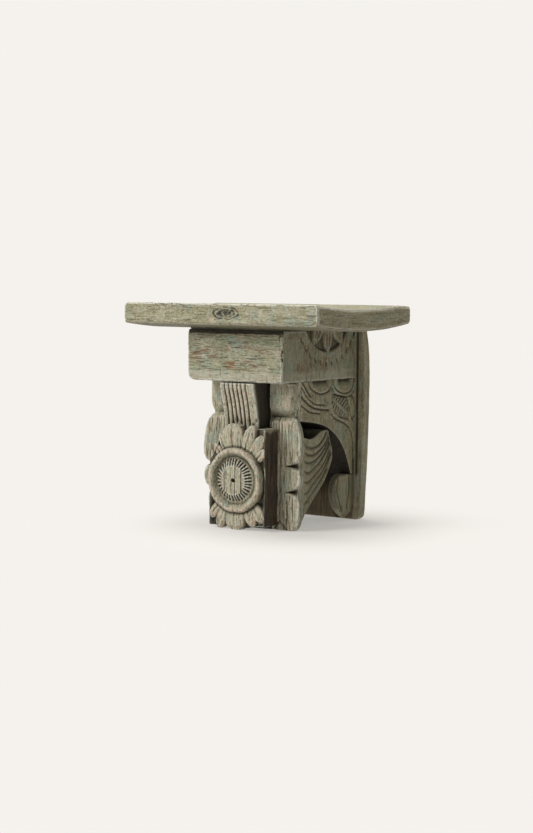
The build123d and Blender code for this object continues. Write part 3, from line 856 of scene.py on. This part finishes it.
# %% [markdown]
# ## Scalloped plates
# A board on each side of the drop ends in four lobes, like the edge of a leaf. The outer edge is worked out
# from the height: between two notches it is a straight line plus a bulge (1 - s^2)^p, where s goes from -1 to
# 1, and a small p gives a squarer lobe. The lobes are rounded over, and a V cut runs in from each notch.

# %% Scalloped plates
# Each lobe: lowest and highest point, edge at both, bulge and the power p.
LOBES_RIGHT = [(115, 149.5, 49.5, 53, 3.6, 0.5), (66, 115, 51.0, 48.5, 11.6, 0.4),
               (39.5, 66, 51.0, 51.5, 9.6, 0.5), (0, 39.5, 52.0, 51.0, 9.0, 0.5)]
LOBES_LEFT = [(117, 149.5, 44, 52.4, 3.0, 0.7), (63, 117, 52, 44, 11.5, 0.5),
              (37, 63, 52, 52, 7.2, 0.5), (0, 37, 47.5, 52, 3.0, 0.5)]
BLANK_WIDE = 38
NOTCH_DEPTH = 5.5
FOOT_VEE = [(29, 0), (37, 9.5), (46, 0)]      # a shallow V cut in the foot of the plate


def lobe_edge(z, lobes):
    """Outer edge at each height: low + t * (high - low) + bulge * (1 - (2t - 1)^2)^p within its lobe."""
    edge = np.full(z.shape, 47.0)
    for z_low, z_high, x_low, x_high, bulge, power in lobes:
        t = np.clip((z - z_low) / (z_high - z_low), 0, 1)
        here = (z >= z_low) & (z <= z_high)
        edge = np.where(here, x_low + t * (x_high - x_low) + bulge * (1 - (2 * t - 1) ** 2) ** power, edge)
    return edge


def scalloped_plate(side, lobes, seed):
    """Width from the inner edge to the lobes; the front is rounded over, notched and streaked."""
    notches = [lobe[0] for lobe in lobes[:-1]]
    points, away, quads = blank((0, LOBE_LOW[1], 0), (BLANK_WIDE, LOBE_HIGH[1], LOBE_TOP),
                                (0.62, 0.9, 0.72), 1.0, edges=((), (), notches))
    z = points[:, 2]
    inner = NECK_HIGH[0] + 3 * step(z, 102, 104)
    edge = lobe_edge(z, lobes)
    points[:, 0] = inner + points[:, 0] / BLANK_WIDE * (edge - inner)
    from_edge = edge - points[:, 0]
    top, second = notches[0], notches[1:]
    over = 1.3 * np.exp(-((from_edge / 2.2) ** 2)) + 6.5 * step(from_edge, 10, 0) ** 2 * step(z, top, top + 5)
    roll = 5.2 * step(z, top + 15, top) ** 2 * (z >= top) + 3.4 * step(z, top - 6, top) * (z < top)
    wedge = 0.6 + 2.8 * step(from_edge, 8, 0)
    notch = sum(NOTCH_DEPTH * np.exp(-(((z - at) / wedge) ** 2)) for at in second) * step(from_edge, 8, 4)
    low = cut(distance_to(FOOT_VEE, points[:, 0], z), 1.2, 1.1)
    fibre = 0.9 * waves(points, (1.7, 50, 18), seed, 3) * step(z, top + 4, top - 8)
    front = np.clip((LOBE_HIGH[1] - points[:, 1]) / (LOBE_HIGH[1] - LOBE_LOW[1]), 0, 1)
    points[:, 1] += front * (over + roll + notch + low + fibre)
    points = worn(points, away, 0.9, seed + 2)
    facing = away[:, 1] < -0.5
    split = np.clip(waves(points, (1.7, 50, 26), seed + 7, 2) - 0.25, 0, 1)
    split = split * step(from_edge, 5, 12) * (z < top)
    # Notches, the roll and the foot cut hold dirt and painted shade, splits are dark cracks, and the face
    # darkens toward its inner edge: painted shade in the gap beside the drop.
    deep = np.clip(facing * (0.2 * notch + 0.1 * roll + 0.2 * low + 1.3 * split) - 0.1, 0, 1)
    deep = np.maximum(deep, facing * step(points[:, 0], 30, 25) * step(z, 106, 100))
    # A broad pale band along the lobes' outer edges: worn paint and a painted highlight.
    extra_pale = facing * 0.9 * step(from_edge, 4.5, 0.5)
    extra_pale = extra_pale * step(waves(points, (4, 9, 9), seed + 5, 2), -0.5, 0.4) * (z < top)
    return make_piece(f"{side}_scalloped_plate", [f"{side}_lobed_plate"], [on_side(side, points, quads)],
                      carved_paint, deep=deep, bare=0.8 * (away[:, 0] < -0.8), extra_pale=extra_pale)


scalloped_plate("right", LOBES_RIGHT, 51)
scalloped_plate("left", LOBES_LEFT, 61)

# %% [markdown]
# ## Shell leaves
# Behind each scalloped plate a fluted leaf sweeps back and up under the arm. A curve gives its rear edge at
# each height, and another its lip at each distance from the wall. Its flutes are gouged along routes that
# sweep from the plate down and back up to the mouth, and behind the lip the leaf is hollow, its floor
# darkened as painted shade.

# %% Shell leaf
LEAF_BACK = curve([(58, 100), (52.5, 92), (48, 82), (47.5, 72), (52, 62), (63, 49), (76, 38.5), (89, 28.5),
                   (100, 19), (109, 9)])
LEAF_LIP = curve([(40, 99.5), (62, 99.5), (72.6, 98.8), (83, 94.2), (89, 92.8), (95, 92.6), (102, 94),
                  (112, 96)])
LEAF_TOP, LEAF_FOOT = 99.5, 8.5
LEAF_WIDE, LEAF_DEEP, LEAF_OUTER = 35, 62, 56.8
LEAF_FRONT = ARM_FRONT + 0.2                # it lies this little way into the back of the plate
FLUTE_LINES = [
    [(106, 90), (99.8, 85), (88.3, 82.5), (76.8, 84.5), (67.1, 90), (61.3, 96)],
    [(107, 82), (99.7, 77), (88.2, 75), (74.7, 79), (63.1, 85), (56, 93)],
    [(108, 72), (98, 68), (86, 68.5), (73, 74), (61, 82), (53.5, 91)],
    [(108, 62), (95.5, 57.5), (80.3, 63.5), (68.8, 70.5), (57.2, 80), (51.5, 88)],
    [(108, 51), (97.3, 48), (80.2, 56), (64.8, 65), (53.1, 76.5)],
    [(109, 37), (97.5, 37.5), (86.2, 46), (70.8, 55), (59.2, 64), (50.5, 73.5)],
    [(109, 24), (98, 29), (86, 38), (71, 48.5), (60, 58)],
]


def shell_leaf(side, seed):
    """Depth from the leaf's rear edge to the plate; fluted outside, its top dips to a lip round a hollow."""
    points, away, quads = blank((0, 0, LEAF_FOOT), (LEAF_WIDE, LEAF_DEEP, 99), (1.1, 0.7, 0.7), 1.0)
    rear = np.minimum(read_off(points[:, 2], LEAF_BACK[:, ::-1]), 110)
    d = LEAF_FRONT - points[:, 1] / LEAF_DEEP * (LEAF_FRONT - rear)
    outer = LEAF_OUTER - 2.4 * step(d, 80, 46) ** 1.5
    x = NECK_HIGH[0] + points[:, 0] / LEAF_WIDE * (outer - NECK_HIGH[0])
    room = step(d, 63, 69) * step(d, 107, 103) * step(x, outer - 2.6, outer - 4.6) * step(x, 23, 26)
    highest = np.minimum(read_off(d, LEAF_LIP), np.where(d < 62, soffit(d) - 0.5, LEAF_TOP))
    dip = LEAF_TOP - highest + 22 * room
    points[:, 2] -= dip * step(points[:, 2], 50, 99)
    z = points[:, 2]
    flute = np.zeros_like(d)
    for route in FLUTE_LINES:
        flute = np.maximum(flute, cut(distance_to(curve(route, 6), d, z), 2.0, 2.0))
    flute *= (0.75 + 0.35 * step(d, 90, 60)) * step(d, 109, 98)
    facing = step(away[:, 0], 0.5, 0.95)
    points[:, 0] = x - facing * (flute + 1.2 * step(d, 100, 112) * step(z, 40, 90))
    points[:, 1] = WALL - d
    points = worn(points, away, 0.7, seed)
    # Flutes and the rear of the leaf darken with dirt and painted shade, and the floor of the hollow is
    # darkened as painted shade.
    deep = np.clip(facing * (0.22 * flute - 0.08 + 0.25 * step(d, 70, 52)), 0, 0.75)
    deep = np.clip(deep + room * (away[:, 2] > 0.3), 0, 1)
    return make_piece(f"{side}_fluted_leaf", [f"{side}_shell_leaf"], [on_side(side, points, quads)],
                      side_paint, deep=deep)


shell_leaf("right", 71)
shell_leaf("left", 72)

# %% [markdown]
# ## Foot buds
# Two leaf buds hang under the arm's legs. Seen from the side a bud is a pointed leaf with a ridge down its
# middle, so it swells outwards most along the ridge.

# %% Foot bud
BUD_FRONT = curve([(36, 49.5), (43, 45), (47.5, 37), (48.5, 30), (45, 20), (38, 11), (30, 5.5), (27, 3.5)])
BUD_REAR = curve([(9, 49.5), (9, 35), (9, 25), (10, 17), (15, 10), (21, 5.5), (24.5, 3.5)])


BUD_RIDGE = curve([(30, 50), (31, 36), (29, 20), (26, 4)])
BUD_VEINS = [(1.1, curve([(20, 50), (19, 34), (23, 14)])), (0.9, curve([(39, 47), (41, 33), (33, 12)]))]
BUD_INNER, BUD_OUTER, BUD_THICK, BUD_DEEP = 42, 57.6, 15.6, 36


def foot_bud(side, seed):
    """A block between the bud's front and rear outlines at each height, swollen on its outer side."""
    points, away, quads = blank((BUD_INNER, 0, 3.5), (BUD_OUTER, BUD_DEEP, 49.3), (1.0, 0.8, 0.8), 1.2)
    z, inwards = points[:, 2], BUD_OUTER - points[:, 0]
    front, rear = read_off(z, BUD_FRONT[:, ::-1]), read_off(z, BUD_REAR[:, ::-1])
    front = front - (0.3 * inwards + 0.03 * inwards**2)
    d = rear + (1 - points[:, 1] / BUD_DEEP) * (front - rear)
    points[:, 1] = WALL - d
    off = distance_to(BUD_RIDGE, d, z)
    fall = 0.2 + 1.6 * np.clip(off / 14, 0, 1) ** 2 * (d > 30) + 2.5 * step(z, 12, 3)
    veins = sum(cut(distance_to(line, d, z), 0.9, deep) for deep, line in BUD_VEINS)
    points[:, 0] -= (points[:, 0] - BUD_INNER) / BUD_THICK * (fall + veins)
    points = worn(points, away, 0.8, seed)
    # Veins hold dirt and painted shade, and the bud darkens away from its ridge toward its edges: painted
    # shade.
    return make_piece(f"{side}_leaf_bud", [f"{side}_foot_bud"], [on_side(side, points, quads)], side_paint,
                      deep=np.clip(0.45 * veins + 0.35 * step(off, 8, 15), 0, 1))


foot_bud("right", 81)
foot_bud("left", 82)

# %% [markdown]
# ## The hanging drop
# In front hangs a thick board with a rosette, and petals above and below it. Its sides are raw dark wood. The
# petals are separate closed leaf shapes set into the board's face, which keeps their edges crisp. A petal is
# a block that narrows to its root by a parabola and ends in half an ellipse, with its face domed across.

# %% Pendant board and petals
DISC_AT = np.array([-1.2, 50.6])
GROUND = 139.5          # the carved ground between the petals, out from the wall
PANEL_HALF = 34.8
PETAL_ROOT, PETAL_THICK, PETAL_SUNK = 24.0, 8, 3.0
TIP_FROM, TIP_SPAN = 0.66, 0.345
PETALS = [
    # angle from upright in degrees, reach to the tip, half width, rise of the dome above the ground
    (-4.5, 57.8, 15.0, 6.8), (20.5, 60.0, 8.4, 6.0), (35.5, 56.5, 7.2, 5.2), (48, 48.5, 6.0, 4.4),
    (-24, 51.0, 4.4, 4.2), (-39, 45.0, 4.6, 1.2),
    (181, 51.5, 13.6, 6.4), (-141.5, 51.0, 6.2, 5.4), (-156.5, 54.5, 7.2, 6.0),
    (155, 50.5, 7.4, 4.4), (141, 53.0, 7.4, 4.0),
]


def petal(angle, reach, half, rise, seed):
    """One petal, s across it and t from root to tip. Its width is a parabola up to TIP_FROM and then half an
    ellipse; its face is rise * (1 - |s|^3.4)^0.6, with a crease down the middle and fine grain."""
    points, away, quads = blank((-half, 0, PETAL_ROOT), (half, PETAL_THICK, reach), (0.7, 2.0, 0.7), 0.8)
    s = points[:, 0] / half
    t = (points[:, 2] - PETAL_ROOT) / (reach - PETAL_ROOT)
    root = 1 - 0.45 * (1 - t / TIP_FROM) ** 2
    tip = np.sqrt(np.clip(1 - (np.maximum(t - TIP_FROM, 0) / TIP_SPAN) ** 2, 0.003, 1))
    across = s * half * np.where(t < TIP_FROM, root, tip)
    back = points[:, 1] / PETAL_THICK
    dome = rise * (1 - np.abs(s) ** 3.4) ** 0.6
    dome = dome * (0.5 + 0.5 * step(t, 1.1, 0.75)) * (0.7 + 0.3 * step(t, 0.1, 0.6))
    dome -= 0.9 * np.exp(-((s * half / 0.8) ** 2)) * step(t, 0.96, 0.7)
    dome += 0.45 * waves(points, (1.9, 50, 12), seed, 2)
    turn = np.radians(angle)
    x = across * np.cos(turn) + points[:, 2] * np.sin(turn) + DISC_AT[0]
    z = points[:, 2] * np.cos(turn) - across * np.sin(turn) + DISC_AT[1]
    d = GROUND + (1 - back) * dome - back * PETAL_SUNK
    limit = PANEL_HALF - 0.9 - 2.5 * back
    x = np.where(np.abs(x) > limit, np.sign(x) * (limit - 0.04 * (np.abs(x) - limit)), x)
    from_disc = np.hypot(x - DISC_AT[0], z - DISC_AT[1])
    # Petal sides and the parts next to the rosette are darkened: dirt and painted shade where they meet the
    # ground and the rim.
    deep = 0.7 * step(np.abs(s), 0.72, 1.0) * (t < 0.9) + 0.75 * step(from_disc, 37, 33.5)
    return np.column_stack([x, WALL - d, np.maximum(z, 0.1)]), quads, np.clip(deep, 0, 1)


def pendant_board():
    """The raw board behind the petals: gouged face, broken top edge cut away at the left, streaked sides."""
    points, away, quads = blank((-PANEL_HALF, WALL - GROUND - 2.5, 2.5),
                                (PANEL_HALF, PANEL_HIGH[1], NECK_LOW[2]), (0.8, 1.1, 0.85), 0.8)
    x, z = points[:, 0].copy(), points[:, 2].copy()
    front, side = step(-away[:, 1], 0.3, 0.9), step(np.abs(away[:, 0]), 0.3, 0.9)
    slope = 1.05 * np.maximum(-15 - x, 0) + 0.15 * np.maximum(-15 - x, 0) ** 1.5
    ragged = 2.8 * np.clip(waves(points, (5, 9, 5), 91, 2), -0.3, 1.2)
    points[:, 2] -= (slope + ragged) * step(z, 60, 102)
    points[:, 2] += 2.5 * step(z, 12, 3) * step(x, 14, 18)
    near = np.hypot(x - DISC_AT[0], z - DISC_AT[1])
    edge = step(np.abs(x), PANEL_HALF - 5.0, PANEL_HALF - 1.5)
    ground = 2.5 * (1 - edge) + step(near, 40, 34) - 0.8 * edge
    gouges = 1.1 * waves(points, (2.6, 9, 4.5), 92, 2) * (0.4 + 0.6 * (1 - edge))
    points[:, 1] += front * (ground + gouges)
    points[:, 0] -= np.sign(x) * side * (0.1 + 0.4 * np.clip(waves(points, (9, 1.9, 45), 93, 2), 0, 1))
    points = worn(points, away, 0.7, 94)
    kept = edge * step(noise(points, (9, 9, 10), 95), 0.0, 0.4)
    # The whole carved face is darkened, more in gouges and less in patches near the sides: dirt and painted
    # shade in the recess round the petals.
    deep = front * (0.7 - 0.5 * kept + 0.4 * np.clip(gouges, 0, 1))
    return points, quads, side * step(z, 103.5, 99), np.clip(deep, 0, 1)


board_points, board_quads, board_bare, board_deep = pendant_board()
petals = [petal(*shape, 100 + k) for k, shape in enumerate(PETALS)]
extra = np.zeros(sum(len(points) for points, _, _ in petals))
make_piece("pendant_with_petals", ["pendant_panel"],
           [(board_points, board_quads)] + [one[:2] for one in petals], carved_paint,
           deep=np.concatenate([board_deep] + [one[2] for one in petals]),
           bare=np.concatenate([board_bare, extra]),
           extra_pale=np.concatenate([-0.8 * step(board_points[:, 2], 22, 34), extra]))

# %% [markdown]
# ## The reeded neck
# Above the drop its neck curves forward to the block, with seven reeds down its face. Between two reeds runs
# a rounded gouge cut, so the reeds are what is left standing.

# %% Reeded neck
NECK_FACE = curve([(135.0, 103), (135.2, 108), (136.8, 118), (139.5, 130), (142.8, 141), (144.4, 147),
                   (144.6, 149.5)])
REED_EDGES = np.array([-15.6, -10.2, -5.2, 0.0, 5.0, 10.6])
NECK_DEEP, NECK_SHIFT, NECK_NARROWER = 30, -0.3, 0.985


def reeded_neck():
    """A block whose front follows the face curve, with a cut at each reed's edge."""
    points, away, quads = blank((NECK_LOW[0], 0, NECK_LOW[2]), (NECK_HIGH[0], NECK_DEEP, NECK_HIGH[2]),
                                (0.5, 1.2, 0.8), 0.8)
    x, z = points[:, 0].copy(), points[:, 2]
    share = 1 - points[:, 1] / NECK_DEEP
    face = read_off(z, NECK_FACE[:, ::-1])
    gap = np.abs(x[:, None] - REED_EDGES[None, :]).min(1)
    reeds = cut(gap, 0.95, 2.0) * (0.55 + 0.45 * step(z, 148, 138)) + 0.6 * step(z, 145, 147)
    ends = 2.4 * np.clip(noise(points, (5, 30, 7), 112) - 0.1, 0, 1) * step(z, 119, 107)
    points[:, 1] = WALL - (ARM_FRONT + share * (face - ARM_FRONT) - share**3 * (reeds + ends))
    points[:, 0] = NECK_SHIFT + x * NECK_NARROWER
    points = worn(points, away, 0.6, 113)
    facing, right_side = away[:, 1] < -0.6, away[:, 0] > 0.8
    deep = np.clip(facing * (0.2 * reeds - 0.1 + 0.25 * ends + 0.3 * step(z, 121, 108)), 0, 1)
    # The right side darkens toward the back: painted shade in the recess beside the plate.
    deep = deep + 0.8 * right_side * step(share, 0.98, 0.8)
    return make_piece("reeded_neck_piece", ["reeded_neck"], [(points, quads)], carved_paint,
                      deep=np.clip(deep, 0, 1), bare=0.5 * right_side * step(share, 0.95, 0.7))


reeded_neck()

# %% [markdown]
# ## The rosette
# A turned boss: a worn round rim, a dish, and a flat centre with a ring of notches cut round its edge. It's a
# profile of radius and height swept round, with the notches and a few grain splits taken off the height.

# %% Rosette
RIM, ROUNDS, SPOKES = 33.0, 50, 260
PROFILE = curve([(0, 8.0), (10, 8.2), (15, 8.1), (18, 6.8), (21.2, 4.4), (23.4, 3.6), (25.4, 4.8),
                 (27.4, 7.2), (29.4, 8.5), (31.6, 7.9), (33.0, 5.6), (33.3, 2)], 8)
DISC_BACK, DISC_SUNK = 139.6, 2.5
NOTCHES, RING_AT = 34, -1.2
HOLE, HOLE_AT, HOLE_DEEP = 2.0, (-0.7, 0.0), 4.5


def rosette_face(r, a):
    """Height out from the board at radius r and angle a, and how dark it is made there: darker in the
    notches, splits and hole, and by a painted shadow of the rim on the sunken ring inside it, strongest at
    its top.

    height = profile - notches - splits - waves of a worn rim - hole."""
    flat = np.column_stack([r * np.sin(a), r * np.cos(a), 0 * r])
    tooth = np.clip(0.5 + 0.75 * np.cos(NOTCHES * a + 1.3 * noise(flat, 7, 122)), 0, 1)
    from_ring = np.hypot(flat[:, 0] - RING_AT, flat[:, 1])
    ring = step(from_ring, 14.6, 16.2) * step(from_ring, 22.4, 20.6)
    splits = 0.7 * np.clip(waves(flat, (1.9, 60, 1), 127, 3) - 0.1, 0, 1) * step(r, 18, 14)
    hole = step(np.hypot(flat[:, 0] - HOLE_AT[0], flat[:, 1] - HOLE_AT[1]), HOLE + 0.4, HOLE - 0.4)
    height = read_off(r, PROFILE)
    height -= 1.9 * ring * (1 - tooth) + 1.4 * splits + 0.5 * waves(flat, 6, 124, 2) * step(r, 22, 26)
    height -= HOLE_DEEP * hole
    # The sunken ring inside the rim is darkened, most on its upper side: painted shadow of the rim.
    dish_shadow = np.exp(-(((r - 23.6) / 2.8) ** 2)) * (0.35 + 0.65 * step(flat[:, 1] - 0.4 * flat[:, 0], -12, 16))
    return height, 0.45 * ring * (1 - tooth) + 0.6 * splits + 0.42 * dish_shadow + hole


def rosette():
    """The profile swept round, its radius wobbling by 2 %; rings of quads, with a fan at each middle."""
    angle = np.linspace(0, 2 * np.pi, SPOKES, endpoint=False)
    r, a = (grid.ravel() for grid in np.meshgrid(np.linspace(0.7, RIM, ROUNDS), angle, indexing="ij"))
    height, dirt_and_shade = rosette_face(r, a)
    wobble = 1 + 0.018 * noise(np.column_stack([30 * np.sin(a), 30 * np.cos(a), 0 * a]), 9, 121)
    face = WALL - DISC_BACK - height
    rear = WALL - DISC_BACK + DISC_SUNK
    front = np.column_stack([r * np.sin(a) * wobble + DISC_AT[0], face, r * np.cos(a) * wobble + DISC_AT[1]])
    rim_back = front[-SPOKES:].copy()
    rim_back[:, 1] = rear
    middles = [[DISC_AT[0], face[:SPOKES].mean(), DISC_AT[1]], [DISC_AT[0], rear, DISC_AT[1]]]
    points = np.vstack([front, rim_back, middles])
    grid = np.arange((ROUNDS + 1) * SPOKES).reshape(ROUNDS + 1, SPOKES)
    after = np.roll(grid, -1, axis=1)
    quads = np.stack([grid[:-1], after[:-1], after[1:], grid[1:]], -1).reshape(-1, 4)
    half = np.arange(0, SPOKES, 2)
    inner, outer = grid[0], grid[-1]
    ends = (half + 2) % SPOKES
    fan = np.stack([np.full(half.size, len(points) - 2), inner[ends], inner[half + 1], inner[half]], -1)
    shut = np.stack([np.full(half.size, len(points) - 1), outer[half], outer[half + 1], outer[ends]], -1)
    deep = np.zeros(len(points))
    deep[: r.size] = dirt_and_shade
    return make_piece("notched_rosette", ["rosette_disc"], [(points, np.concatenate([quads, fan, shut]))],
                      carved_paint, deep=np.clip(deep, 0, 1))


rosette()

# %% [markdown]
# ## Wood, iron and steel
# The dowels are plain beech, the shelf nails and the rosette's nail rusty iron, and hangers and screws dull
# steel. The drop's core is raw dark wood. The small nails in the scalloped plates were painted over.

# %% Fasteners and hidden core
def plain_finish(name, base, layers, metallic, rough, sizes):
    """A finish of a base colour and patches of others, with a light bump from the last patch."""
    material = bpy.data.materials.new(name)
    material.use_nodes = True
    tree = material.node_tree
    shader = tree.nodes["Principled BSDF"]
    place = add(tree, "TexCoord").outputs["Object"]
    mm = add(tree, "VectorMath", {0: place, "Scale": 1 / MM}, operation="SCALE").outputs[0]
    maps = [patches(tree, mm, size, 0.4, 0.65, 4) for size in sizes]
    shade = layered(tree, base, [(spots, part, code) for spots, (part, code) in zip(maps, layers)])
    tree.links.new(shade, shader.inputs["Base Color"])
    shader.inputs["Metallic"].default_value = metallic
    spread_of_rough = {"Value": maps[0], "To Min": rough - 0.1, "To Max": rough + 0.1}
    tree.links.new(add(tree, "MapRange", spread_of_rough).outputs[0], shader.inputs["Roughness"])
    tree.links.new(raised(tree, [(maps[-1], -0.12)]), shader.inputs["Normal"])
    return material


beech = plain_finish("bare_beech", "#8D6B45", [(0.6, "#6B4C2E"), (0.5, "#4A3320")], 0.0, 0.7,
                     [(2, 2, 20), (0.8, 0.8, 9)])
rust = plain_finish("rusty_iron", "#4A3A30", [(0.8, "#6E4028"), (0.6, "#2A211C")], 0.35, 0.7,
                    [(1.4,) * 3, (0.7,) * 3])
steel = plain_finish("dull_zinc_steel", "#8E8D88", [(0.5, "#6C6A64"), (0.4, "#54483A")], 0.85, 0.5,
                     [(5,) * 3, (0.9,) * 3])
raw_wood = plain_finish("raw_dark_wood", "#3A3021", [(0.8, "#241D13"), (0.7, "#120F09")], 0.0, 0.85,
                        [(9, 9, 40), (1.6, 1.6, 26)])
FINISHES = {
    raw_wood: ["drop_core"],
    beech: ["head_dowels", "core_dowels", "shell_dowels", "panel_dowels", "neck_dowel", "bud_dowels"],
    rust: ["shelf_nails", "rosette_nail"],
    carved_paint: ["plate_nails"],
    steel: ["left_hanger", "right_hanger", "back_screws", "hanger_screws"],
}
for finish, names in FINISHES.items():
    for name in names:
        node = bpy.data.objects[name]
        for place in node.material_slots:
            place.material = finish
print({finish.name: len(names) for finish, names in FINISHES.items()})
